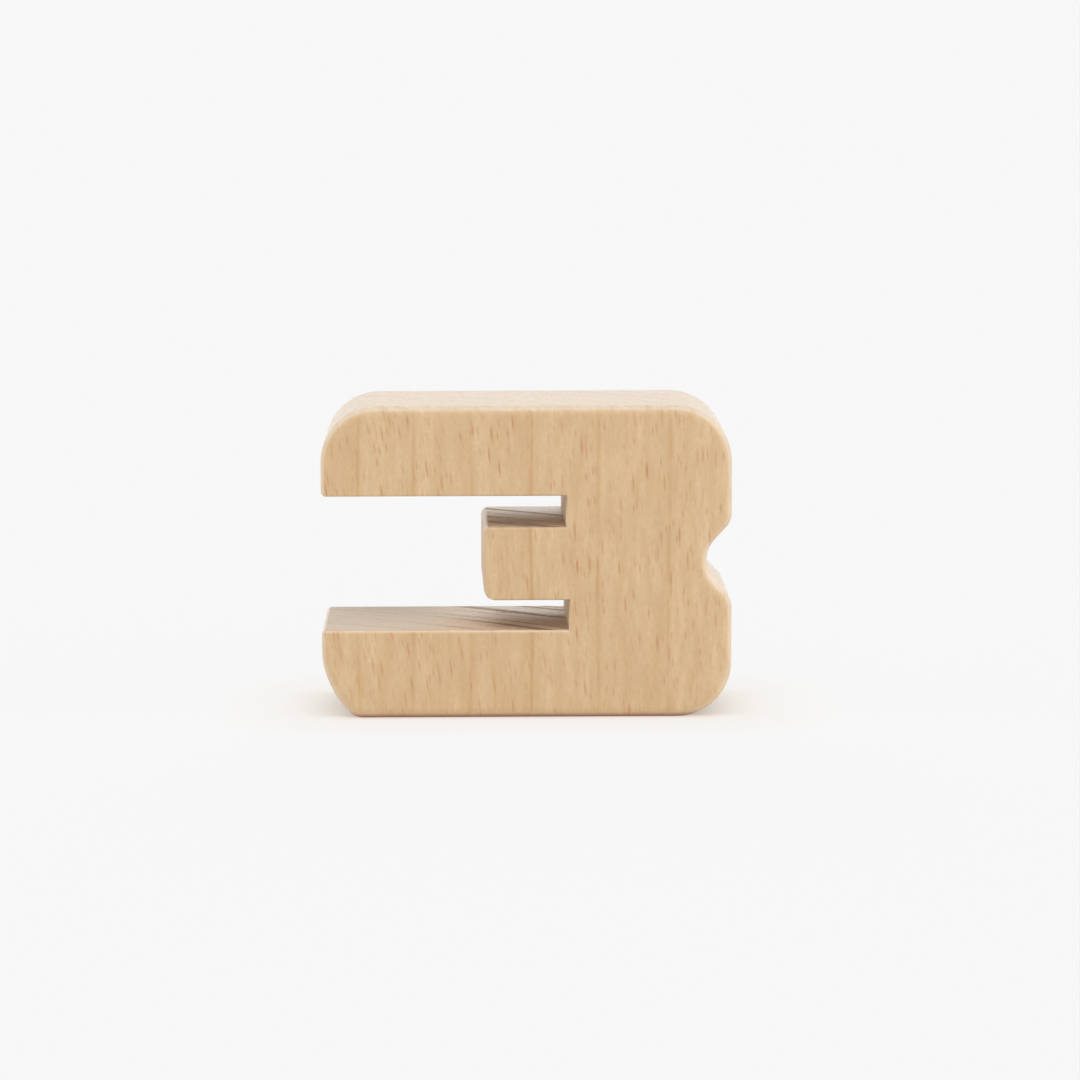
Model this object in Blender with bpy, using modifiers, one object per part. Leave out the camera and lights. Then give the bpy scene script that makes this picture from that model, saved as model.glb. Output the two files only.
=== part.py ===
"""Number block: a wooden toy numeral, cut as one solid piece from a beech board.

Units are metres and +Z is up. The outline of the numeral lies in the XZ plane, and the
board's thickness runs along Y, with the front face at -Y. The origin is at the middle of
the underside, so the block stands on the plane Z = 0.
"""

import math
from collections import namedtuple

import bmesh
import bpy
from mathutils import Vector

MM = 0.001

# Driving dimensions: the board
WIDTH = 60.0 * MM
THICKNESS = 25.0 * MM

# Driving dimensions: heights, from the underside up
LOWER_ARM_HEIGHT = 13.0 * MM
LOWER_SLOT_HEIGHT = 4.45 * MM
TONGUE_HEIGHT = 10.75 * MM
UPPER_SLOT_HEIGHT = 4.6 * MM
UPPER_ARM_HEIGHT = 13.1 * MM

# Driving dimensions: depths, measured in from the tips of the arms
LOWER_SLOT_DEPTH = 36.0 * MM
UPPER_SLOT_DEPTH = 35.6 * MM
TONGUE_SETBACK = 23.55 * MM

# Driving dimensions: the waist notch in the right edge, halfway up
NOTCH_MOUTH = 11.5 * MM
NOTCH_APEX_DEPTH = 5.2 * MM
NOTCH_LIP_RADIUS = 2.7 * MM
NOTCH_BOTTOM_RADIUS = 4.35 * MM

# Driving dimensions: corners of the outline
CORNER_RADIUS = 8.1 * MM
TOE_RISE = 4.3 * MM
TOE_RUN = 4.9 * MM
TOE_RADIUS = 12.5 * MM
HEEL_RADIUS = 2.1 * MM

# Driving dimensions: rounding of the edges, sanded outside and only eased in the slots
OUTER_ARRIS = 1.2 * MM
SLOT_ARRIS = 0.4 * MM
ARM_TIP_ARRIS = 0.7 * MM
TONGUE_TOP_ARRIS = 1.0 * MM
TONGUE_BOTTOM_ARRIS = 1.8 * MM
ARRIS_STEPS = 3

# How finely a round corner is drawn
CORNER_STEP = math.radians(9.0)

# How much of an edge its two corner arcs may use up together
MOST_OF_EDGE = 0.96

WELD_DISTANCE = 0.001 * MM
ON_WALL = 0.01 * MM

BEECH_COLOUR = (0.665, 0.462, 0.275, 1.0)
BEECH_ROUGHNESS = 0.55

# A corner of the outline: its place, the radius it is drawn with, and the rounding of the
# edge that runs through the thickness there. A corner with neither is a square saw corner.
Corner = namedtuple("Corner", ("x", "z", "arc", "arris"), defaults=(0.0, 0.0))


def clear_scene():
    """Remove every object that the file opened with."""
    for existing in list(bpy.data.objects):
        bpy.data.objects.remove(existing, do_unlink=True)


def new_collection(name):
    collection = bpy.data.collections.new(name)
    bpy.context.scene.collection.children.link(collection)
    return collection


def heights():
    """The four slot walls and the top, from the underside up."""
    lower_arm_top = LOWER_ARM_HEIGHT
    tongue_bottom = lower_arm_top + LOWER_SLOT_HEIGHT
    tongue_top = tongue_bottom + TONGUE_HEIGHT
    upper_arm_bottom = tongue_top + UPPER_SLOT_HEIGHT
    top = upper_arm_bottom + UPPER_ARM_HEIGHT
    return lower_arm_top, tongue_bottom, tongue_top, upper_arm_bottom, top


def outline_corners():
    """Corners of the numeral, anticlockwise seen from the front."""
    lower_arm_top, tongue_bottom, tongue_top, upper_arm_bottom, top = heights()
    left = -WIDTH / 2
    right = WIDTH / 2
    lower_slot_end = left + LOWER_SLOT_DEPTH
    upper_slot_end = left + UPPER_SLOT_DEPTH
    tongue_tip = left + TONGUE_SETBACK
    waist = top / 2
    return [
        Corner(left, TOE_RISE, arc=TOE_RADIUS),
        Corner(left + TOE_RUN, 0.0, arc=HEEL_RADIUS),
        Corner(right, 0.0, arc=CORNER_RADIUS),
        Corner(right, waist - NOTCH_MOUTH / 2, arc=NOTCH_LIP_RADIUS),
        Corner(right - NOTCH_APEX_DEPTH, waist, arc=NOTCH_BOTTOM_RADIUS),
        Corner(right, waist + NOTCH_MOUTH / 2, arc=NOTCH_LIP_RADIUS),
        Corner(right, top, arc=CORNER_RADIUS),
        Corner(left, top, arc=CORNER_RADIUS),
        Corner(left, upper_arm_bottom, arris=ARM_TIP_ARRIS),
        Corner(upper_slot_end, upper_arm_bottom),
        Corner(upper_slot_end, tongue_top),
        Corner(tongue_tip, tongue_top, arris=TONGUE_TOP_ARRIS),
        Corner(tongue_tip, tongue_bottom, arris=TONGUE_BOTTOM_ARRIS),
        Corner(lower_slot_end, tongue_bottom),
        Corner(lower_slot_end, lower_arm_top),
        Corner(left, lower_arm_top, arris=ARM_TIP_ARRIS),
    ]


def tangent_lengths(points, radii):
    """How far each corner's arc reaches along its edges, kept within the edges it lies on."""
    count = len(points)
    reach = []
    for i in range(count):
        before = (points[i - 1] - points[i]).normalized()
        after = (points[(i + 1) % count] - points[i]).normalized()
        reach.append(radii[i] / math.tan(before.angle(after) / 2))
    limited = list(reach)
    for i in range(count):
        j = (i + 1) % count
        room = MOST_OF_EDGE * (points[j] - points[i]).length
        used = reach[i] + reach[j]
        if used > room:
            limited[i] = min(limited[i], reach[i] * room / used)
            limited[j] = min(limited[j], reach[j] * room / used)
    return limited


def rounded_outline(corners):
    """The outline as points, with each corner that has a radius turned into an arc."""
    points = [Vector((corner.x, corner.z)) for corner in corners]
    reach = tangent_lengths(points, [corner.arc for corner in corners])
    count = len(points)
    outline = []
    for i in range(count):
        if reach[i] == 0.0:
            outline.append(points[i])
            continue
        before = (points[i - 1] - points[i]).normalized()
        after = (points[(i + 1) % count] - points[i]).normalized()
        half_angle = before.angle(after) / 2
        radius = reach[i] * math.tan(half_angle)
        centre = points[i] + (before + after).normalized() * (radius / math.sin(half_angle))
        spoke = points[i] + before * reach[i] - centre
        last_spoke = points[i] + after * reach[i] - centre
        sweep = math.pi - 2 * half_angle
        turn = math.copysign(sweep, spoke.x * last_spoke.y - spoke.y * last_spoke.x)
        steps = max(2, math.ceil(sweep / CORNER_STEP))
        for step in range(steps + 1):
            angle = turn * step / steps
            x = spoke.x * math.cos(angle) - spoke.y * math.sin(angle)
            z = spoke.x * math.sin(angle) + spoke.y * math.cos(angle)
            outline.append(centre + Vector((x, z)))
    return outline


def extruded_mesh(name, outline, thickness):
    """A flat outline, filled and thickened both ways, as one welded mesh with plain end faces."""
    curve = bpy.data.curves.new(name + "_outline", "CURVE")
    curve.dimensions = "2D"
    curve.fill_mode = "BOTH"
    curve.extrude = thickness / 2
    spline = curve.splines.new("POLY")
    spline.points.add(len(outline) - 1)
    spline.use_cyclic_u = True
    for point, place in zip(spline.points, outline):
        point.co = (place.x, place.y, 0.0, 1.0)
    guide = bpy.data.objects.new(name + "_outline", curve)
    guide.rotation_euler = (math.pi / 2, 0.0, 0.0)
    bpy.context.scene.collection.objects.link(guide)
    graph = bpy.context.evaluated_depsgraph_get()
    mesh = bpy.data.meshes.new_from_object(guide.evaluated_get(graph))
    mesh.name = name
    mesh.transform(guide.evaluated_get(graph).matrix_world)
    bpy.data.objects.remove(guide, do_unlink=True)
    shape = bmesh.new()
    shape.from_mesh(mesh)
    bmesh.ops.remove_doubles(shape, verts=shape.verts, dist=WELD_DISTANCE)
    bmesh.ops.dissolve_limit(
        shape, angle_limit=math.radians(0.1), verts=shape.verts, edges=shape.edges
    )
    bmesh.ops.recalc_face_normals(shape, faces=shape.faces)
    shape.to_mesh(mesh)
    shape.free()
    return mesh


def on_slot_wall(place):
    """Whether a point of the outline lies on one of the walls cut by the two slots."""
    lower_arm_top, tongue_bottom, tongue_top, upper_arm_bottom, top = heights()
    for wall in (lower_arm_top, tongue_bottom, tongue_top, upper_arm_bottom):
        if abs(place.z - wall) < ON_WALL:
            return True
    left = -WIDTH / 2
    for slot_end, floor, ceiling in (
        (left + LOWER_SLOT_DEPTH, lower_arm_top, tongue_bottom),
        (left + UPPER_SLOT_DEPTH, tongue_top, upper_arm_bottom),
    ):
        if abs(place.x - slot_end) < ON_WALL and floor < place.z < ceiling:
            return True
    return False


def through_edge_arris(place, corners):
    """The rounding of an edge that runs through the thickness at this place, if it has any."""
    for corner in corners:
        if math.hypot(place.x - corner.x, place.z - corner.z) < ON_WALL:
            return corner.arris
    return 0.0


def weigh_edges(mesh, corners, largest):
    """Mark each edge with its rounding, as a share of the largest one."""
    shape = bmesh.new()
    shape.from_mesh(mesh)
    weight = shape.edges.layers.float.new("bevel_weight_edge")
    for edge in shape.edges:
        first, second = (vert.co for vert in edge.verts)
        middle = (first + second) / 2
        if abs(first.y - second.y) > ON_WALL:
            arris = through_edge_arris(middle, corners)
        elif on_slot_wall(middle):
            arris = SLOT_ARRIS
        else:
            arris = OUTER_ARRIS
        edge[weight] = arris / largest
    shape.to_mesh(mesh)
    shape.free()


def beech():
    """Bare sanded beech."""
    material = bpy.data.materials.new("beech")
    material.use_nodes = True
    shader = material.node_tree.nodes["Principled BSDF"]
    shader.inputs["Base Color"].default_value = BEECH_COLOUR
    shader.inputs["Roughness"].default_value = BEECH_ROUGHNESS
    shader.inputs["Metallic"].default_value = 0.0
    material.diffuse_color = BEECH_COLOUR
    return material


def number_block(collection):
    """The whole numeral: outline, thickness and rounded edges."""
    corners = outline_corners()
    largest_arris = max(OUTER_ARRIS, SLOT_ARRIS, *(corner.arris for corner in corners))
    mesh = extruded_mesh("number_block", rounded_outline(corners), THICKNESS)
    weigh_edges(mesh, corners, largest_arris)
    mesh.materials.append(beech())
    mesh.shade_smooth()
    block = bpy.data.objects.new("number_block", mesh)
    collection.objects.link(block)
    arris = block.modifiers.new("rounded_edges", "BEVEL")
    arris.limit_method = "WEIGHT"
    arris.offset_type = "OFFSET"
    arris.width = largest_arris
    arris.segments = ARRIS_STEPS
    arris.profile = 0.5
    arris.harden_normals = True
    return block


def main():
    clear_scene()
    number_block(new_collection("number_block"))


main()
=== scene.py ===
# %% [markdown]
# # A beech number block
#
# The object is a toy numeral, cut as one piece from a beech board and sanded smooth by hand. It has three
# limbs on the left, a spine with a waist notch on the right, and two narrow saw slots that free the short
# middle tongue. This lesson rebuilds its finished surface in Blender: first the shape, with every edge as
# round as the sandpaper left it, then the wood itself, and last a plain pale stage, soft light and the
# camera.
#
# ## The measured block
#
# The block's sizes were settled before, in a measured solid that stands in the frame. Its box gives the
# outer sizes here, so the finished surface can't grow past it. Blender works in metres, and a maker
# thinks in millimetres, so one value turns the one into the other.

import math

import bmesh
import bpy
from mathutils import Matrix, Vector


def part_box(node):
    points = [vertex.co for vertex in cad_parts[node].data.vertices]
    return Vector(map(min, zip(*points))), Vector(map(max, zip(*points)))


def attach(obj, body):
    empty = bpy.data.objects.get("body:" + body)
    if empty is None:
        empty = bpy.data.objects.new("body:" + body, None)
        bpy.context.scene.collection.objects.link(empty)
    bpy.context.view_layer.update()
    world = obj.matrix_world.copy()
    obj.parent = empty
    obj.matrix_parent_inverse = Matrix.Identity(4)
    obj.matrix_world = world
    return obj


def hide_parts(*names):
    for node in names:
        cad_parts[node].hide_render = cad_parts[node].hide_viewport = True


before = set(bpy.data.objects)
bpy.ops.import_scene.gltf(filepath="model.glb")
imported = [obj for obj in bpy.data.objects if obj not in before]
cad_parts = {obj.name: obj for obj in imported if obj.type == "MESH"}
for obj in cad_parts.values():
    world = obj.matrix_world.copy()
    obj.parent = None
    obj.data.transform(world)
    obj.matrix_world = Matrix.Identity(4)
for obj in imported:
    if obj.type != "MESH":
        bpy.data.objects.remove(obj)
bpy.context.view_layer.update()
block_low, block_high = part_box("number_block")

MM = 0.001
LEFT = block_low.x
RIGHT = block_high.x
FRONT = block_low.y
BACK = block_high.y
TOP = block_high.z
print("block of", [round(size / MM, 2) for size in block_high - block_low], "mm")

# %% [markdown]
# ## The outline
#
# A joiner draws the numeral with straight lines and square corners first, and rounds the corners later.
# The mesh is made in the same order: sixteen corners, one face, one extrusion through the thickness of
# the board. The heights are given from the table up, and the depths are measured in from the open tips of
# the arms.

# %% Corners of the numeral
LOWER_ARM_TOP = 13.0 * MM
TONGUE_BOTTOM = 17.45 * MM
TONGUE_TOP = 28.2 * MM
UPPER_ARM_BOTTOM = 32.8 * MM
LOWER_SLOT_END = LEFT + 36.0 * MM
UPPER_SLOT_END = LEFT + 35.6 * MM
TONGUE_TIP = LEFT + 23.55 * MM
WAIST = 23.1 * MM
NOTCH_HALF_MOUTH = 5.75 * MM
NOTCH_APEX = RIGHT - 5.2 * MM
TOE_RISE = 4.3 * MM
TOE_END = LEFT + 4.9 * MM

OUTLINE = (
    (LEFT, TOE_RISE),
    (TOE_END, 0.0),
    (RIGHT, 0.0),
    (RIGHT, WAIST - NOTCH_HALF_MOUTH),
    (NOTCH_APEX, WAIST),
    (RIGHT, WAIST + NOTCH_HALF_MOUTH),
    (RIGHT, TOP),
    (LEFT, TOP),
    (LEFT, UPPER_ARM_BOTTOM),
    (UPPER_SLOT_END, UPPER_ARM_BOTTOM),
    (UPPER_SLOT_END, TONGUE_TOP),
    (TONGUE_TIP, TONGUE_TOP),
    (TONGUE_TIP, TONGUE_BOTTOM),
    (LOWER_SLOT_END, TONGUE_BOTTOM),
    (LOWER_SLOT_END, LOWER_ARM_TOP),
    (LEFT, LOWER_ARM_TOP),
)

shape = bmesh.new()
front_face = shape.faces.new([shape.verts.new((x, FRONT, z)) for x, z in OUTLINE])
pulled = bmesh.ops.extrude_face_region(shape, geom=[front_face])
pulled_verts = [item for item in pulled["geom"] if isinstance(item, bmesh.types.BMVert)]
bmesh.ops.translate(shape, verts=pulled_verts, vec=(0.0, BACK - FRONT, 0.0))
bmesh.ops.recalc_face_normals(shape, faces=shape.faces)
print("sharp blank:", len(shape.verts), "corners,", len(shape.faces), "faces")

# %% [markdown]
# ## Round corners
#
# The corners seen from the front were shaped on a spindle or a belt, so each is a true arc. A bevel makes
# it: its offset is how far the arc reaches along the two walls, which follows from the radius and from
# how sharply the walls turn. The lower left corner is ground flatter than the others, so it is two arcs,
# a long one and a short one. The three big corners differ by a few tenths of a millimetre, as corners
# shaped by hand do.

# %% Arcs at the outer corners and in the notch
CLOSE = 0.02 * MM

# Each corner's place, its radius, and the number of flats that stand in for the arc.
ROUND_CORNERS = (
    (RIGHT, TOP, 8.3 * MM, 20),
    (LEFT, TOP, 8.2 * MM, 14),
    (RIGHT, 0.0, 8.1 * MM, 20),
    (LEFT, TOE_RISE, 12.0 * MM, 8),
    (TOE_END, 0.0, 2.4 * MM, 5),
    (RIGHT, WAIST - NOTCH_HALF_MOUTH, 2.7 * MM, 10),
    (RIGHT, WAIST + NOTCH_HALF_MOUTH, 2.7 * MM, 10),
    (NOTCH_APEX, WAIST, 4.35 * MM, 16),
)


def through_edges(x, z):
    """The edges that run through the thickness at this corner of the outline."""
    found = []
    for edge in shape.edges:
        first, second = (vert.co for vert in edge.verts)
        runs_through = abs(first.y - second.y) > CLOSE
        if runs_through and math.hypot(first.x - x, first.z - z) < CLOSE:
            found.append(edge)
    return found


for x, z, radius, flats in ROUND_CORNERS:
    corner = through_edges(x, z)
    reach = radius * math.tan(corner[0].calc_face_angle() / 2)
    bmesh.ops.bevel(
        shape, geom=corner, offset=reach, offset_type="OFFSET", affect="EDGES",
        segments=flats, profile=0.5, material=-1, clamp_overlap=False,
    )
print("after the round corners:", len(shape.verts), "vertices")

# %% [markdown]
# ## Sanded edges
#
# A toy for small hands has no sharp edge. The outer edges were rolled over on the sander to about 1.4 mm,
# a little more along the underside and a little less down the left side. The slots were cut later with a
# saw, and sandpaper hardly reaches into them, so their edges are only eased. A Bevel modifier reads a
# weight from each edge, so one modifier makes all of these roundings, and the corners where unlike edges
# meet are blended for us.

# %% How round each edge is
OUTER_ARRIS = 1.4 * MM
UNDERSIDE_ARRIS = 1.6 * MM
LEFT_ARRIS = 1.05 * MM
LEFT_ARRIS_REACH = 0.65
SLOT_ARRIS = 0.3 * MM
ARM_FLOOR_ARRIS = 0.5 * MM
ARM_TIP_ARRIS = 0.7 * MM
TONGUE_TOP_ARRIS = 1.0 * MM
TONGUE_BOTTOM_ARRIS = 1.7 * MM
LARGEST_ARRIS = 2.0 * MM
SLOT_WALLS = (LOWER_ARM_TOP, TONGUE_BOTTOM, TONGUE_TOP, UPPER_ARM_BOTTOM)
SLOT_ENDS = (
    (LOWER_SLOT_END, LOWER_ARM_TOP, TONGUE_BOTTOM),
    (UPPER_SLOT_END, TONGUE_TOP, UPPER_ARM_BOTTOM),
)
THROUGH_ARRISES = (
    (LEFT, UPPER_ARM_BOTTOM, ARM_TIP_ARRIS),
    (LEFT, LOWER_ARM_TOP, ARM_TIP_ARRIS),
    (TONGUE_TIP, TONGUE_TOP, TONGUE_TOP_ARRIS),
    (TONGUE_TIP, TONGUE_BOTTOM, TONGUE_BOTTOM_ARRIS),
)


def on_slot_wall(place):
    """Whether a point lies on a wall that the saw left, seen from the front."""
    if any(abs(place.z - wall) < CLOSE for wall in SLOT_WALLS):
        return True
    return any(
        abs(place.x - end) < CLOSE and low < place.z < high for end, low, high in SLOT_ENDS
    )


def outer_arris(edge):
    """The rounding of an outer edge: fullest along the underside, tightest down the left side."""
    wall = min(edge.link_faces, key=lambda face: abs(face.normal.y)).normal
    fullest = UNDERSIDE_ARRIS if wall.z < 0 else OUTER_ARRIS
    if wall.x > 0:
        return OUTER_ARRIS + (fullest - OUTER_ARRIS) * abs(wall.z)
    levelled = min(1.0, abs(wall.z) / LEFT_ARRIS_REACH)
    return LEFT_ARRIS + (fullest - LEFT_ARRIS) * levelled


def face_arris(edge):
    """The rounding of an edge between the front or back face and a wall."""
    middle = (edge.verts[0].co + edge.verts[1].co) / 2
    if abs(middle.z - LOWER_ARM_TOP) < CLOSE:
        return ARM_FLOOR_ARRIS
    return SLOT_ARRIS if on_slot_wall(middle) else outer_arris(edge)


shape.normal_update()
arris_weight = shape.edges.layers.float.new("bevel_weight_edge")
for edge in shape.edges:
    first, second = (vert.co for vert in edge.verts)
    if abs(first.y - second.y) < CLOSE:
        edge[arris_weight] = face_arris(edge) / LARGEST_ARRIS
for x, z, arris in THROUGH_ARRISES:
    for edge in through_edges(x, z):
        edge[arris_weight] = arris / LARGEST_ARRIS
weighted = [edge for edge in shape.edges if edge[arris_weight] > 0]
print("edges to round:", len(weighted), "of", len(shape.edges))

# %% [markdown]
# ## The saw's lean
#
# The walls that the saw left inside aren't quite square to the front. They run a little to the left on
# their way to the back, by less than half a millimetre over the thickness, so a sliver of the slots' end
# walls shows from the front. Moving the corners is enough, because the roundings are made afterwards.

# %% Slanted inner walls
INNER_SLANT = -0.015

for vert in shape.verts:
    beside_tongue = TONGUE_TIP - CLOSE < vert.co.x < LOWER_SLOT_END + CLOSE
    between_arms = LOWER_ARM_TOP - CLOSE < vert.co.z < UPPER_ARM_BOTTOM + CLOSE
    if beside_tongue and between_arms:
        vert.co.x += INNER_SLANT * vert.co.y
print("inner walls slant by", round(abs(INNER_SLANT) * (BACK - FRONT) / MM, 2), "mm")

# %% [markdown]
# ## The block as an object
#
# The mesh becomes an object that rides on the block's own body and stands in for the measured solid. The
# Bevel modifier rounds the weighted edges. Without help, smooth shading would bend the large flat faces
# next to those narrow roundings, so a Weighted Normal modifier keeps the flat faces flat. The square
# corners in the slots stay sharp.

# %% The block as an object
SHARP_TURN = math.radians(40.0)
ARRIS_SEGMENTS = 8
FLAT_FACE_WEIGHT = 100

block_mesh = bpy.data.meshes.new("beech_numeral")
shape.to_mesh(block_mesh)
shape.free()
block_mesh.shade_smooth()
block_mesh.set_sharp_from_angle(angle=SHARP_TURN)
block = bpy.data.objects.new("beech_numeral", block_mesh)
bpy.context.scene.collection.objects.link(block)

rounding = block.modifiers.new("sanded edges", "BEVEL")
rounding.limit_method = "WEIGHT"
rounding.offset_type = "OFFSET"
rounding.width = LARGEST_ARRIS
rounding.segments = ARRIS_SEGMENTS
rounding.profile = 0.5
rounding.use_clamp_overlap = False
rounding.harden_normals = False
flat_faces = block.modifiers.new("flat faces stay flat", "WEIGHTED_NORMAL")
flat_faces.mode = "FACE_AREA"
flat_faces.weight = FLAT_FACE_WEIGHT
flat_faces.keep_sharp = True

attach(block, "root")
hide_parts("number_block")
print("numeral:", len(block_mesh.polygons), "faces before the edges are rounded")

# %% [markdown]
# ## Colours and nodes
#
# Colours are written the way a colour picker shows them, as sRGB hex values. Blender shades in linear
# light, so one function turns them over. A second function adds a node: it takes the node's settings and
# what goes into each of its sockets, either a plain value or another node's output, and hands back one of
# the node's outputs.

# %% Two small helpers
BARE_WOOD = "#E0C8A1"


def linear(hex_colour):
    """An sRGB hex colour as the linear RGBA that Blender's sockets take."""
    channels = [int(hex_colour[i:i + 2], 16) / 255 for i in (1, 3, 5)]
    light = [c / 12.92 if c <= 0.04045 else ((c + 0.055) / 1.055) ** 2.4 for c in channels]
    return (*light, 1.0)


def add(tree, kind, inputs=None, out=0, **settings):
    """Add a node with its settings, fill or link its inputs, and give back one of its outputs."""
    node = tree.nodes.new("ShaderNode" + kind)
    for name, value in settings.items():
        setattr(node, name, value)
    for socket, value in (inputs or {}).items():
        if isinstance(value, bpy.types.NodeSocket):
            tree.links.new(value, node.inputs[socket])
        else:
            node.inputs[socket].default_value = value
    return node.outputs[out]


print("bare wood in linear light:", [round(c, 3) for c in linear(BARE_WOOD)])

# %% [markdown]
# ## Solid beech
#
# Wood isn't a picture on a surface: the same rings and rays run right through the piece, and each face
# cuts them at its own angle. So the pattern is built in space, in millimetres, around the line where the
# tree's centre was. The grain runs up the block. Distance from the centre line gives the growth rings,
# and the way around it places the end grain. The ray flecks lean, more at the left than at the right. A
# slow sway keeps all of it from being too straight.

# %% Where the tree's centre was
PITH = (-70.0, -90.0, 0.0)
RING_RADIUS = 105.0
LEAN_AT_LEFT = 0.15
LEAN_AT_RIGHT = 0.02
SWAY = 1.2
SWAYS_PER_MM = (0.06, 0.06, 0.03)

beech = bpy.data.materials.new("sanded beech")
beech.use_nodes = True
wood = beech.node_tree

here = add(wood, "TexCoord", out="Object")
place = add(wood, "VectorMath", {0: here, "Scale": 1 / MM}, operation="SCALE")
x_mm, y_mm, z_mm = add(wood, "SeparateXYZ", {0: place}).node.outputs
slow = add(wood, "Mapping", {"Vector": place, "Scale": SWAYS_PER_MM})
wander = add(wood, "TexNoise", {"Vector": slow, "Scale": 1.0, "Detail": 1.0}, out="Color")
centred = add(wood, "VectorMath", {0: wander, 1: (0.5, 0.5, 0.5)}, operation="SUBTRACT")
push = add(wood, "VectorMath", {0: centred, "Scale": SWAY}, operation="SCALE")
swayed = add(wood, "VectorMath", {0: place, 1: push}, operation="ADD")
across, inwards, upwards = add(wood, "SeparateXYZ", {0: swayed}).node.outputs

lean = add(
    wood, "MapRange",
    {
        "Value": x_mm, "From Min": LEFT / MM, "From Max": RIGHT / MM,
        "To Min": LEAN_AT_LEFT, "To Max": LEAN_AT_RIGHT,
    },
)
leaned = add(wood, "Math", {0: upwards, 1: lean, 2: across}, operation="MULTIPLY_ADD")
grain = add(wood, "CombineXYZ", {0: across, 1: upwards, 2: inwards})
ray_grain = add(wood, "CombineXYZ", {0: leaned, 1: upwards, 2: inwards})

from_pith = add(wood, "VectorMath", {0: swayed, 1: PITH}, operation="SUBTRACT")
pith_x, pith_y, _ = add(wood, "SeparateXYZ", {0: from_pith}).node.outputs
level_with_pith = add(wood, "VectorMath", {0: from_pith, 1: (1.0, 1.0, 0.0)}, operation="MULTIPLY")
pith_distance = add(wood, "VectorMath", {0: level_with_pith}, operation="LENGTH", out="Value")
angle = add(wood, "Math", {0: pith_y, 1: pith_x}, operation="ARCTAN2")
around = add(wood, "Math", {0: angle, 1: RING_RADIUS}, operation="MULTIPLY")
ring_grain = add(wood, "CombineXYZ", {0: around, 1: upwards, 2: pith_distance})

near = math.hypot(LEFT / MM - PITH[0], FRONT / MM - PITH[1])
far = math.hypot(RIGHT / MM - PITH[0], FRONT / MM - PITH[1])
print("the front face runs from", round(near), "to", round(far), "mm from the tree's centre")

# %% [markdown]
# ## Fibres
#
# Beech has no strong figure. What shows on its faces are faint streaks up the grain, from broad ones,
# where the tree grew faster or slower, down to the pores. Noise that is stretched along the grain draws
# each of them. The patterns go into a list of layers: a colour, where it lies, and the least and the most
# of it. At the end the layers are laid over the bare wood one by one, in this order, as a painter would
# glaze them.

# %% Fibres up the grain
MOST_NOISE = {"From Min": 0.3, "From Max": 0.7}


def fibres(wide, tall, detail=1.0):
    """Streaks along the grain, about this wide and tall in millimetres, from 0 to 1."""
    stretched = add(wood, "Mapping", {"Vector": grain, "Scale": (1 / wide, 1 / tall, 1 / wide)})
    noise = add(wood, "TexNoise", {"Vector": stretched, "Scale": 1.0, "Detail": detail})
    return add(wood, "MapRange", {"Value": noise, **MOST_NOISE})


# Real pores are under 0.1 mm wide, too fine to show here, so they are drawn a third of a millimetre wide.
pores = fibres(wide=0.34, tall=0.75, detail=2.0)
layers = [
    ("#C9A06C", fibres(wide=2.4, tall=40.0), 0.05, 0.35),
    ("#C8A274", fibres(wide=1.1, tall=6.5), 0.07, 0.53),
    ("#CDB18E", fibres(wide=0.7, tall=4.0), 0.0, 0.5),
    ("#BE8E5C", pores, 0.02, 0.24),
]
print("layers of fibres:", len(layers))

# %% [markdown]
# ## Growth rings
#
# The rings of this board grow wider outwards. Each starts pale and ends in a narrow, redder line of late
# wood with a sharp outer edge, and the lines come and go up the block. One dry year left a stronger line
# than the others. A logarithm of the distance from the tree's centre counts the rings, so that each is
# wider than the one before it by the same share.

# %% Growth rings
RING_GROWTH = 0.146
RING_START = 62.0
RING_SHIFT = 0.79
DRY_YEAR = 24.0
PLAIN_LINE = 0.7
DRY_LINE = 1.5
FAINT_STRETCH = 0.3
STRONG_STRETCH = 1.6

# How much late wood there is, by how far through the ring a place lies.
LATE_WOOD = ((0.0, 0.25), (0.05, 0.0), (0.5, 0.06), (0.93, 0.22), (0.96, 1.0), (0.98, 0.9), (1.0, 0.35))

span = add(wood, "Math", {0: pith_distance, 1: RING_START}, operation="SUBTRACT")
log = add(wood, "Math", {0: span, 1: math.e}, operation="LOGARITHM")
count = add(wood, "Math", {0: log, 1: 1 / RING_GROWTH, 2: -RING_SHIFT}, operation="MULTIPLY_ADD")
through_ring = add(wood, "Math", {0: count}, operation="FRACT")
late_wood = add(wood, "ValToRGB", {"Fac": through_ring})
stops = late_wood.node.color_ramp.elements
for position, _ in LATE_WOOD[1:-1]:
    stops.new(position)
for stop, (_, amount) in zip(stops, LATE_WOOD):
    stop.color = (amount, amount, amount, 1.0)

year = add(wood, "Math", {0: count}, operation="FLOOR")
dry = add(wood, "Math", {0: year, 1: DRY_YEAR, 2: 0.5}, operation="COMPARE")
strength = add(wood, "Math", {0: dry, 1: DRY_LINE - PLAIN_LINE, 2: PLAIN_LINE}, operation="MULTIPLY_ADD")
lines = add(wood, "Math", {0: late_wood, 1: strength}, operation="MULTIPLY")
stretches = {"Value": fibres(wide=4.0, tall=8.0), "To Min": FAINT_STRETCH, "To Max": STRONG_STRETCH}
come_and_go = add(wood, "MapRange", stretches)
rings = add(wood, "Math", {0: lines, 1: come_and_go}, operation="MULTIPLY")
layers.append(("#BE8A50", rings, 0.0, 0.4))
for side, distance in (("left", near), ("right", far)):
    print("rings at the front's", side, "edge:", round(RING_GROWTH * (distance - RING_START), 1), "mm wide")

# %% [markdown]
# ## Which way a place faces
#
# The two faces were planed along the grain. The edges all round were cut across the fibres, and the walls
# in the slots were sawn. The surface's own direction, in the block's axes, tells these apart, so one
# helper measures how far a place is turned towards an axis.

# %% Which way a place faces
ACROSS, THROUGH, UP = 0, 1, 2

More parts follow.
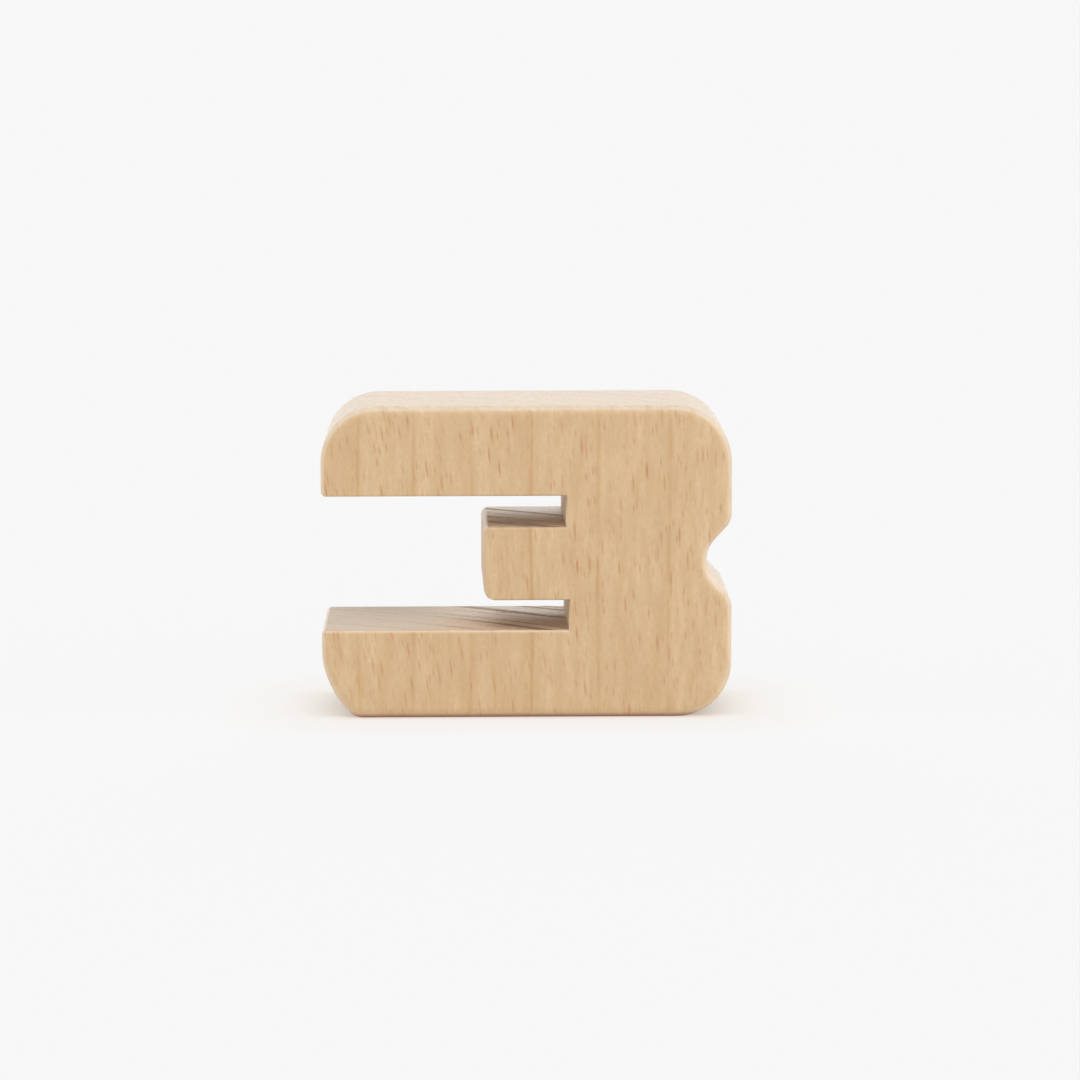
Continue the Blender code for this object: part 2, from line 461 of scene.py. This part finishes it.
facing = add(wood, "TexCoord", out="Normal")
facing_axes = add(wood, "SeparateXYZ", {0: facing}).node.outputs


def turned(axis, low, high):
    """0 to 1 as the surface turns towards an axis, either way along it."""
    share = add(wood, "Math", {0: facing_axes[axis]}, operation="ABSOLUTE")
    return add(
        wood, "MapRange", {"Value": share, "From Min": low, "From Max": high},
        interpolation_type="SMOOTHSTEP",
    )


print("nodes in the beech so far:", len(wood.nodes))

# %% [markdown]
# ## Ray flecks
#
# Rays are thin ribbons of cells that run out from the tree's centre. Where a face cuts them end on, they
# are the small brown flecks that mark beech, up to about 3 mm tall. A Voronoi texture puts one spot in
# each stretched cell, and only a share of the spots is kept. On walls that face left or right they are
# fainter.

# %% Cut ends of the rays
FLECK_CORE = 0.04
FLECK_EDGE = 0.4
SIDE_WALL = (0.5, 1.0)
SIDE_WALL_FLECKS = 0.4


def ray_flecks(wide, tall, deep, keep):
    """Cut ends of rays: one in each cell of this size in millimetres, of which this share are kept."""
    cell = add(wood, "Mapping", {"Vector": ray_grain, "Scale": (1 / wide, 1 / tall, 1 / deep)})
    spots = add(wood, "TexVoronoi", {"Vector": cell, "Scale": 1.0, "Randomness": 1.0}, out="Distance")
    body = add(
        wood, "MapRange",
        {"Value": spots, "From Min": FLECK_CORE, "From Max": FLECK_EDGE, "To Min": 1.0, "To Max": 0.0},
        interpolation_type="SMOOTHSTEP",
    )
    chance = add(wood, "SeparateColor", {0: spots.node.outputs["Color"]})
    chosen = add(wood, "MapRange", {"Value": chance, "From Min": 1 - keep, "From Max": 1.0})
    return add(wood, "Math", {0: body, 1: chosen}, operation="MULTIPLY")


large_rays = ray_flecks(wide=0.6, tall=5.0, deep=10.0, keep=0.55)
small_rays = ray_flecks(wide=0.48, tall=2.8, deep=5.0, keep=0.8)
side_wall = turned(ACROSS, *SIDE_WALL)
end_on = add(wood, "MapRange", {"Value": side_wall, "To Min": 1.0, "To Max": SIDE_WALL_FLECKS})
for hex_colour, flecks, most in (("#BE8050", large_rays, 0.85), ("#BE8453", small_rays, 0.65)):
    shown = add(wood, "Math", {0: flecks, 1: end_on}, operation="MULTIPLY")
    layers.append((hex_colour, shown, 0.0, most))
print("layers with the rings and rays:", len(layers))

# %% [markdown]
# ## Where the saw went
#
# The finish differs between the sanded outside and the sawn inside, so the wood has to know where the
# slots are. The heights are measured from the middle of the tongue, because the two slots lie almost
# evenly about it. The level walls are the floors and ceilings of the slots and of the gap between the
# arms, and the end walls are those that stop the slots and the tongue.

# %% Where the saw went
SLOT_MARGIN = 0.3 * MM
TONGUE_MARGIN = 0.5 * MM
SHELTER = 0.7 * MM
SQUARELY = (0.9, 0.99)
SLOTS_MIDDLE = (LOWER_ARM_TOP + UPPER_ARM_BOTTOM) / 2
SLOTS_INNER = TONGUE_TOP - SLOTS_MIDDLE - SLOT_MARGIN
SLOTS_OUTER = UPPER_ARM_BOTTOM - SLOTS_MIDDLE + SLOT_MARGIN
TONGUE_MIDDLE = (TONGUE_TIP + LOWER_SLOT_END) / 2
TONGUE_REACH = (LOWER_SLOT_END - TONGUE_TIP) / 2 + TONGUE_MARGIN

height = add(wood, "Math", {0: z_mm, 1: SLOTS_MIDDLE / MM}, operation="SUBTRACT")
off_middle = add(wood, "Math", {0: height}, operation="ABSOLUTE")
slot_band = {1: (SLOTS_INNER + SLOTS_OUTER) / 2 / MM, 2: (SLOTS_OUTER - SLOTS_INNER) / 2 / MM}
in_slot = add(wood, "Math", {0: off_middle, **slot_band}, operation="COMPARE")
level = add(wood, "Math", {0: turned(UP, *SQUARELY), 1: in_slot}, operation="MULTIPLY")
tongue_band = {1: TONGUE_MIDDLE / MM, 2: TONGUE_REACH / MM}
at_tongue = add(wood, "Math", {0: x_mm, **tongue_band}, operation="COMPARE")
ends = add(wood, "Math", {0: turned(ACROSS, *SQUARELY), 1: at_tongue}, operation="MULTIPLY")
low_enough = add(wood, "Math", {0: off_middle, 1: (SLOTS_INNER + SHELTER) / MM}, operation="LESS_THAN")
inside = add(wood, "Math", {0: at_tongue, 1: low_enough}, operation="MULTIPLY")
print("slots lie from", round(SLOTS_INNER / MM, 2), "to", round(SLOTS_OUTER / MM, 2), "mm off the middle")

# %% [markdown]
# ## Painted highlight and painted contact shade
#
# The edges and the top are painted paler. This is a painted highlight that stands in for the shine of light
# on them. It is strongest on what faces up, towards the light, and weaker on the tongue's own walls, which
# lie in the slots, out of the light. The gloss of the wood, seen at a low angle, does the rest. The lowest
# millimetre is painted darker and redder, as painted contact shade where the block stands on the table.

# %% Painted highlight and painted contact shade
# This pale cream is a painted highlight on the edges and the top, and painted light in the upper slot.
PAINTED_LIGHT = "#F0DFC8"
FLAT_FACE = (0.65, 1.0)
ROLLED_EDGE = (0.0, 0.4)
WALL_HIGHLIGHT = 0.66
NO_HIGHLIGHT_FACING = -1.2
FULL_HIGHLIGHT_FACING = 0.7
LEAST_STREAK = 0.75
MOST_STREAK = 1.15
TONGUE_HIGHLIGHT = 0.3
FOOT_FULL = 0.3 * MM
FOOT_GONE = 0.95 * MM

off_face = add(wood, "MapRange", {"Value": turned(THROUGH, *FLAT_FACE), "To Min": 1.0, "To Max": 0.0})
on_edges = add(wood, "MapRange", {"Value": turned(THROUGH, *ROLLED_EDGE), "To Min": WALL_HIGHLIGHT})
upward = {"Value": facing_axes[UP], "From Min": NO_HIGHLIGHT_FACING, "From Max": FULL_HIGHLIGHT_FACING}
facing_up = add(wood, "MapRange", upward)
streaky = {"Value": fibres(wide=0.9, tall=8.0), "To Min": LEAST_STREAK, "To Max": MOST_STREAK}
streaks = add(wood, "MapRange", streaky)
shaded_in_slots = add(wood, "MapRange", {"Value": inside, "To Min": 1.0, "To Max": TONGUE_HIGHLIGHT})
# Painted highlight: paler on the rolled edges and the top, most where they face up, least on the shaded
# walls in the slots.
painted_highlight = off_face
for thinning in (on_edges, facing_up, streaks, shaded_in_slots):
    painted_highlight = add(wood, "Math", {0: painted_highlight, 1: thinning}, operation="MULTIPLY")
# Painted contact shade: the lowest millimetre is painted darker and redder where the block meets the table.
painted_contact_shade = add(
    wood, "MapRange",
    {"Value": z_mm, "From Min": FOOT_FULL / MM, "From Max": FOOT_GONE / MM, "To Min": 1.0, "To Max": 0.0},
    interpolation_type="SMOOTHSTEP",
)
layers += [(PAINTED_LIGHT, painted_highlight, 0.0, 0.74), ("#A05832", painted_contact_shade, 0.0, 0.55)]
print("dust and foot laid over", len(layers) - 2, "layers of wood")

# %% [markdown]
# ## End grain
#
# Cut across the fibres, wood shows its pores from above. They stand in bands along the growth rings,
# crossed by the rays, and a band is either open, with its pores showing dark, or closed and smooth. On
# the sanded top this is only a hint. In the slots, where no sandpaper came, it makes strong streaks.

# %% End grain
# One band is about 33 mm long around the ring, 10 mm tall and 1.25 mm wide across the ring.
BANDS_PER_MM = (0.03, 0.1, 0.8)
BANDS_SHIFT = (11.84, 54.4, 19.52)
# The rays across it are drawn 0.4 mm wide, twice as wide as real ones, which wouldn't show.
RAYS_PER_MM = (2.5, 0.5, 0.35)
RAY_SHARE = 0.2
OPEN_BELOW = 0.465
CLOSED_ABOVE = 0.635
CUT_ACROSS = (0.4, 0.9)

banded = add(wood, "Mapping", {"Vector": ring_grain, "Location": BANDS_SHIFT, "Scale": BANDS_PER_MM})
bands = add(wood, "TexNoise", {"Vector": banded, "Scale": 1.0, "Detail": 4.0, "Roughness": 0.6})
crossing = add(wood, "Mapping", {"Vector": ring_grain, "Scale": RAYS_PER_MM})
crossing_rays = add(wood, "TexNoise", {"Vector": crossing, "Scale": 1.0, "Detail": 1.0})
broken = add(wood, "Math", {0: crossing_rays, 1: RAY_SHARE, 2: bands}, operation="MULTIPLY_ADD")
closed = add(
    wood, "MapRange", {"Value": broken, "From Min": OPEN_BELOW, "From Max": CLOSED_ABOVE},
    interpolation_type="SMOOTHSTEP",
)
opened = add(wood, "MapRange", {"Value": closed, "To Min": 1.0, "To Max": 0.0})
open_ends = add(wood, "Math", {0: turned(UP, *CUT_ACROSS), 1: opened}, operation="MULTIPLY")
layers.append(("#B08A5E", open_ends, 0.0, 0.14))
print("bands of end grain:", 1 / BANDS_PER_MM[2], "mm wide, rays:", 1 / RAYS_PER_MM[0], "mm wide")

# %% [markdown]
# ## Saw marks
#
# The saw ran into the slots across the grain. Closed bands stay smooth, and the torn bands between stay
# dark and matt. Towards the back of the slots the closed bands are painted pale, a painted sheen of the
# white room beyond. Towards the front all of it is painted browner and darker as painted shade, on wood
# that is matt there. Towards the open end of the arms sandpaper reached the floor, so the marks fade there.
# Between the arms the floor and ceiling are painted greyer and darker, as painted shade under the upper
# arm.
# The upper slot and its end wall are painted paler than the lower one, as painted light.

# %% Saw marks in the slots
MARKS_BEGIN = LEFT + 11.0 * MM
MARKS_FULL = TONGUE_TIP + 5.0 * MM
UPPER_FULL = 5.0 * MM
MARKS_OUTSIDE = 0.1
DARK_AT_BACK = 0.5
DARK_IN_FRONT = 0.6

going_in = add(
    wood, "MapRange",
    {
        "Value": x_mm, "From Min": MARKS_BEGIN / MM, "From Max": MARKS_FULL / MM,
        "To Min": MARKS_OUTSIDE,
    },
    interpolation_type="SMOOTHSTEP",
)
to_front = add(
    wood, "MapRange", {"Value": y_mm, "From Min": BACK / MM, "From Max": FRONT / MM},
    interpolation_type="SMOOTHSTEP",
)
to_back = add(wood, "MapRange", {"Value": to_front, "To Min": 1.0, "To Max": 0.0})
sawn = add(wood, "Math", {0: level, 1: going_in}, operation="MULTIPLY")
# Painted shade between the arms: where the saw marks fade, floor and ceiling are painted greyer and darker.
# They are also rougher there.
worn_and_shaded = add(wood, "Math", {0: level, 1: sawn}, operation="SUBTRACT")
# Painted shade: the sawn walls are painted browner and darker towards the front of the slots.
shaded_front = add(wood, "Math", {0: sawn, 1: to_front}, operation="MULTIPLY")
smooth = add(wood, "Math", {0: sawn, 1: closed}, operation="MULTIPLY")
# Painted sheen: closed bands painted pale towards the back of the slots, where the white room shows in the
# shine.
back_sheen = add(wood, "Math", {0: smooth, 1: to_back}, operation="MULTIPLY")
torn = add(wood, "Math", {0: sawn, 1: opened}, operation="MULTIPLY")
# The torn streaks are the wood's own, and they are painted a little darker towards the front of the slots,
# as painted shade.
darkness = add(wood, "MapRange", {"Value": to_front, "To Min": DARK_AT_BACK, "To Max": DARK_IN_FRONT})
dark_streaks = add(wood, "Math", {0: torn, 1: darkness}, operation="MULTIPLY")
any_wall = add(wood, "Math", {0: level, 1: ends}, operation="MAXIMUM")
# Painted light: the walls of the upper slot are painted paler than those of the lower one.
above = add(wood, "MapRange", {"Value": height, "From Max": UPPER_FULL / MM})
lit_upper_slot = add(wood, "Math", {0: any_wall, 1: above}, operation="MULTIPLY")
# Painted light and shade in the slots: pale light in the upper slot, grey shade between the arms, brown
# shade in front, a pale sheen at the back. The dark torn streaks are the wood's own.
layers += [
    (PAINTED_LIGHT, lit_upper_slot, 0.0, 0.6),
    ("#A09A90", worn_and_shaded, 0.0, 0.5),
    ("#A0662E", shaded_front, 0.0, 0.3),
    ("#E6E0D8", back_sheen, 0.0, 0.5),
    ("#4E2E16", dark_streaks, 0.0, 1.0),
]
print("layers in all:", len(layers))

# %% [markdown]
# ## Sanded beech
#
# Bare beech, sanded fine and rubbed by hands, is warm and even in colour, with a satin shine where light
# grazes it. That shine, with the painted highlight laid into the colour, is what turns the edges and the
# top pale from the photograph's low viewpoint. So the roughness is low for bare wood, and it rises only
# where the saw tore the fibres, at the front of the slots, on the end walls and on the floor between the
# arms. A very faint bump from the pores breaks up the shine.

# %% Sanded beech
SATIN = 0.25
TORN_MATT = 0.8
BROWNED_MATT = 0.95
WORN_MATT = 0.45
END_WALL_MATT = 0.6
WOOD_IOR = 1.5
PORE_DEPTH = 0.02 * MM
PORE_STRENGTH = 0.1

colour = linear(BARE_WOOD)
for hex_colour, where, least, most in layers:
    amount = add(wood, "MapRange", {"Value": where, "To Min": least, "To Max": most})
    over = {"Factor": amount, 6: colour, 7: linear(hex_colour)}
    colour = add(wood, "Mix", over, data_type="RGBA", out=2)
front_matt = add(wood, "MapRange", {"Value": shaded_front, "To Max": BROWNED_MATT})
matt = add(wood, "Math", {0: torn, 1: front_matt}, operation="MAXIMUM")
dull = add(wood, "Math", {0: worn_and_shaded, 1: WORN_MATT, 2: matt}, operation="MULTIPLY_ADD")
end_matt = add(wood, "MapRange", {"Value": ends, "To Max": END_WALL_MATT})
rough = add(wood, "Math", {0: dull, 1: end_matt}, operation="MAXIMUM")
roughness = add(wood, "MapRange", {"Value": rough, "To Min": SATIN, "To Max": TORN_MATT})
bump = add(wood, "Bump", {"Height": pores, "Strength": PORE_STRENGTH, "Distance": PORE_DEPTH})

shader = wood.nodes["Principled BSDF"]
shader.inputs["IOR"].default_value = WOOD_IOR
for socket, value in (("Base Color", colour), ("Roughness", roughness), ("Normal", bump)):
    wood.links.new(value, shader.inputs[socket])
block_mesh.materials.append(beech)
print("material on the block:", block_mesh.materials[0].name, "with", len(wood.nodes), "nodes")

# %% [markdown]
# ## Table
#
# The block stands on a plain white table that runs off to a white distance. A single large square does
# for it. Its matt board has no shine of its own.

# %% Table top
TABLE_HALF = 20.0
BOARD = "#F6F6F6"

table_mesh = bpy.data.meshes.new("table_top")
table_shape = bmesh.new()
bmesh.ops.create_grid(table_shape, x_segments=1, y_segments=1, size=TABLE_HALF)
table_shape.to_mesh(table_mesh)
table_shape.free()
table = bpy.data.objects.new("table_top", table_mesh)
bpy.context.scene.collection.objects.link(table)

white = bpy.data.materials.new("matt white board")
white.use_nodes = True
board = white.node_tree
paper = board.nodes["Principled BSDF"]
paper.inputs["Base Color"].default_value = linear(BOARD)
paper.inputs["Roughness"].default_value = 1.0
paper.inputs["Specular IOR Level"].default_value = 0.0
table_mesh.materials.append(white)
print("table", 2 * TABLE_HALF, "m across, with", len(table_mesh.polygons), "face")

# %% [markdown]
# ## Distance from the block
#
# Shade on a bright white table shows only close to what casts it. So the table has to know how far each
# place on it is from the block. The distance starts a little way in under the block's edges, so that it
# is already growing where the board comes into view. It is kept apart for the two directions, beside the
# block and ahead of it.

# %% Distance from the block
UNDER_BLOCK = 4.0 * MM

on_table = add(board, "TexCoord", out="Object")
off_centre = add(board, "VectorMath", {0: on_table}, operation="ABSOLUTE")
inset = (RIGHT - UNDER_BLOCK, BACK - UNDER_BLOCK, 0.0)
beyond = add(board, "VectorMath", {0: off_centre, 1: inset}, operation="SUBTRACT")
outside = add(board, "VectorMath", {0: beyond, 1: (0.0, 0.0, 0.0)}, operation="MAXIMUM")
aside, ahead, _ = add(board, "SeparateXYZ", {0: outside}).node.outputs
gap = add(board, "VectorMath", {0: outside}, operation="LENGTH", out="Value")
print("distance on the table counts from", [round(size / MM, 1) for size in inset[:2]], "mm off the middle")

# %% [markdown]
# ## White glare
#
# In the photograph the table is lit to white, and faint shade drowns in it. So the camera sees a mix of
# the lit board and plain white. The share of white grows with the distance from the block, faster ahead
# of it than beside it, and the white is a little warm close by. Only the camera sees this. The block is
# lit by the plain board.

# %% White glare
WHITE = "#F8F8F8"
WARM_WHITE = "#F7F3EF"
CLEAR_FROM = 6.0 * MM
CLEAR_BY = 20.0 * MM
SHADE_ASIDE = 12.0 * MM
SHADE_AHEAD = 6.0 * MM
GLARE_CLOSE = 0.34
GLARE_FAR = 0.93

clear = add(board, "MapRange", {"Value": gap, "From Min": CLEAR_FROM, "From Max": CLEAR_BY})
tones = {"Factor": clear, 6: linear(WARM_WHITE), 7: linear(WHITE)}
thrown = add(board, "Mix", tones, data_type="RGBA", out=2)
glare = add(board, "Emission", {"Color": thrown, "Strength": 1.0})
per_reach = (1 / SHADE_ASIDE, 1 / SHADE_AHEAD, 0.0)
reaches = add(board, "VectorMath", {0: outside, 1: per_reach}, operation="MULTIPLY")
fade = add(board, "VectorMath", {0: reaches}, operation="LENGTH", out="Value")
away = add(
    board, "MapRange", {"Value": fade, "To Min": GLARE_CLOSE, "To Max": GLARE_FAR},
    interpolation_type="SMOOTHSTEP",
)
seen = add(board, "LightPath", out="Is Camera Ray")
glare_share = add(board, "Math", {0: seen, 1: away}, operation="MULTIPLY")
print("glare from", GLARE_CLOSE, "at the block to", GLARE_FAR, "in the open")

# %% [markdown]
# ## Warm light thrown by the block
#
# Just ahead of the block, light that bounced off the wood tints the shaded board. A colour ramp over the
# first millimetres goes from shade through the warm tint to plain board, and beside the block it fades
# out. Then the three are joined: the plain board that lights the block, the tinted board that the camera
# sees, and the glare.

# %% Warm light thrown by the block
BOUNCE_AHEAD = 8.0 * MM
BOUNCE_ASIDE = 3.0 * MM
BOUNCE_PEAK = 0.45
BOUNCE_WARM = "#F0C8A8"
SHADED_BOARD = "#EEEEE8"
BOARD_BESIDE = "#EEEEEA"
BOARD_AHEAD = "#EEEEEE"

in_front = add(board, "MapRange", {"Value": ahead, "From Max": BOUNCE_AHEAD})
bounced = add(board, "ValToRGB", {"Fac": in_front})
warmth = bounced.node.color_ramp.elements
warmth.new(BOUNCE_PEAK)
for stop, hex_colour in zip(warmth, (SHADED_BOARD, BOUNCE_WARM, BOARD_AHEAD)):
    stop.color = linear(hex_colour)
beside = add(board, "MapRange", {"Value": aside, "From Max": BOUNCE_ASIDE})
tones = {"Factor": beside, 6: bounced, 7: linear(BOARD_BESIDE)}
warmed = add(board, "Mix", tones, data_type="RGBA", out=2)
seen_paper = add(board, "BsdfDiffuse", {"Color": warmed})
lit = add(board, "MixShader", {0: seen, 1: paper.outputs[0], 2: seen_paper})
drowned = add(board, "MixShader", {0: glare_share, 1: lit, 2: glare})
board.links.new(drowned, board.nodes["Material Output"].inputs["Surface"])
print("nodes in the table's board:", len(board.nodes))

# %% [markdown]
# ## Surround
#
# A white room lies all round. As light it is weak, so that the lamps shape the block. The camera and the
# shine of the wood see it at full white, which keeps the background white and the grazing edges pale
# without more light on the block.

# %% Surround
ROOM_LIGHT = 0.2

world = bpy.data.worlds.new("pale studio")
bpy.context.scene.world = world
world.use_nodes = True
sky = world.node_tree
surround = sky.nodes["Background"]
surround.inputs["Color"].default_value = (1.0, 1.0, 1.0, 1.0)
surround.inputs["Strength"].default_value = ROOM_LIGHT
room = add(sky, "Background", {"Color": linear(WHITE), "Strength": 1.0})
path = add(sky, "LightPath").node.outputs
mirrored = add(sky, "MixShader", {0: path["Is Glossy Ray"], 1: surround.outputs[0], 2: room})
seen_sky = add(sky, "MixShader", {0: path["Is Camera Ray"], 1: mirrored, 2: room})
sky.links.new(seen_sky, sky.nodes["World Output"].inputs["Surface"])
print("surround at", ROOM_LIGHT, "as light, white to the camera and in the shine")

# %% [markdown]
# ## Lamps
#
# The light in the photograph is soft, and its shadows are faint. These lamps were fitted to it: a softbox
# above the camera, a window on either side, the right one brighter, and a bright wall behind, which
# lights the top and the slots from the back. Sun lamps that are very wide stand in for them. They don't
# show in the wood's shine, because the white room is already there.

# %% Lamps
# Each lamp's name, where it stands, its strength, and how many degrees across it looks.
LAMPS = (
    ("softbox above the camera", (0.0, -0.65, 0.75), 1.45, 60.0),
    ("window on the right", (1.0, -0.4, 0.25), 1.65, 60.0),
    ("window on the left", (-1.0, -0.15, 0.25), 1.15, 60.0),
    ("bright wall behind", (0.0, 1.0, 0.2), 2.8, 70.0),
)

for name, towards, power, spread in LAMPS:
    light = bpy.data.lights.new(name, "SUN")
    light.energy = power
    light.angle = math.radians(spread)
    lamp = bpy.data.objects.new(name, light)
    lamp.rotation_euler = Vector(towards).to_track_quat("Z", "Y").to_euler()
    lamp.visible_glossy = False
    bpy.context.scene.collection.objects.link(lamp)
    print(name, "at strength", power)

# %% [markdown]
# ## Camera
#
# The camera's place and turns were fitted to the block's edges in the photograph. That puts it about two
# thirds of a metre away, with a long lens, looking slightly down. The Standard view transform shows
# colours as they are written.

# %% Camera
CAMERA_PLACE = (-6.43 * MM, -664.0 * MM, 112.83 * MM)
CAMERA_PITCH = math.radians(7.561)
CAMERA_ROLL = math.radians(0.15)
CAMERA_YAW = math.radians(0.757)
SENSOR_WIDTH = 24.0
LENS = 100.15
NEAREST_SEEN = 0.01
FARTHEST_SEEN = 100.0

camera_data = bpy.data.cameras.new("camera")
camera_data.sensor_width = SENSOR_WIDTH
camera_data.lens = LENS
camera_data.clip_start = NEAREST_SEEN
camera_data.clip_end = FARTHEST_SEEN
camera = bpy.data.objects.new("camera", camera_data)
camera.location = CAMERA_PLACE
camera.rotation_euler = (math.pi / 2 - CAMERA_PITCH, CAMERA_ROLL, -CAMERA_YAW)
bpy.context.scene.collection.objects.link(camera)
bpy.context.scene.camera = camera
bpy.context.scene.view_settings.view_transform = "Standard"
print("camera", round(Vector(CAMERA_PLACE).length / MM), "mm from the block, with a lens of", LENS, "mm")
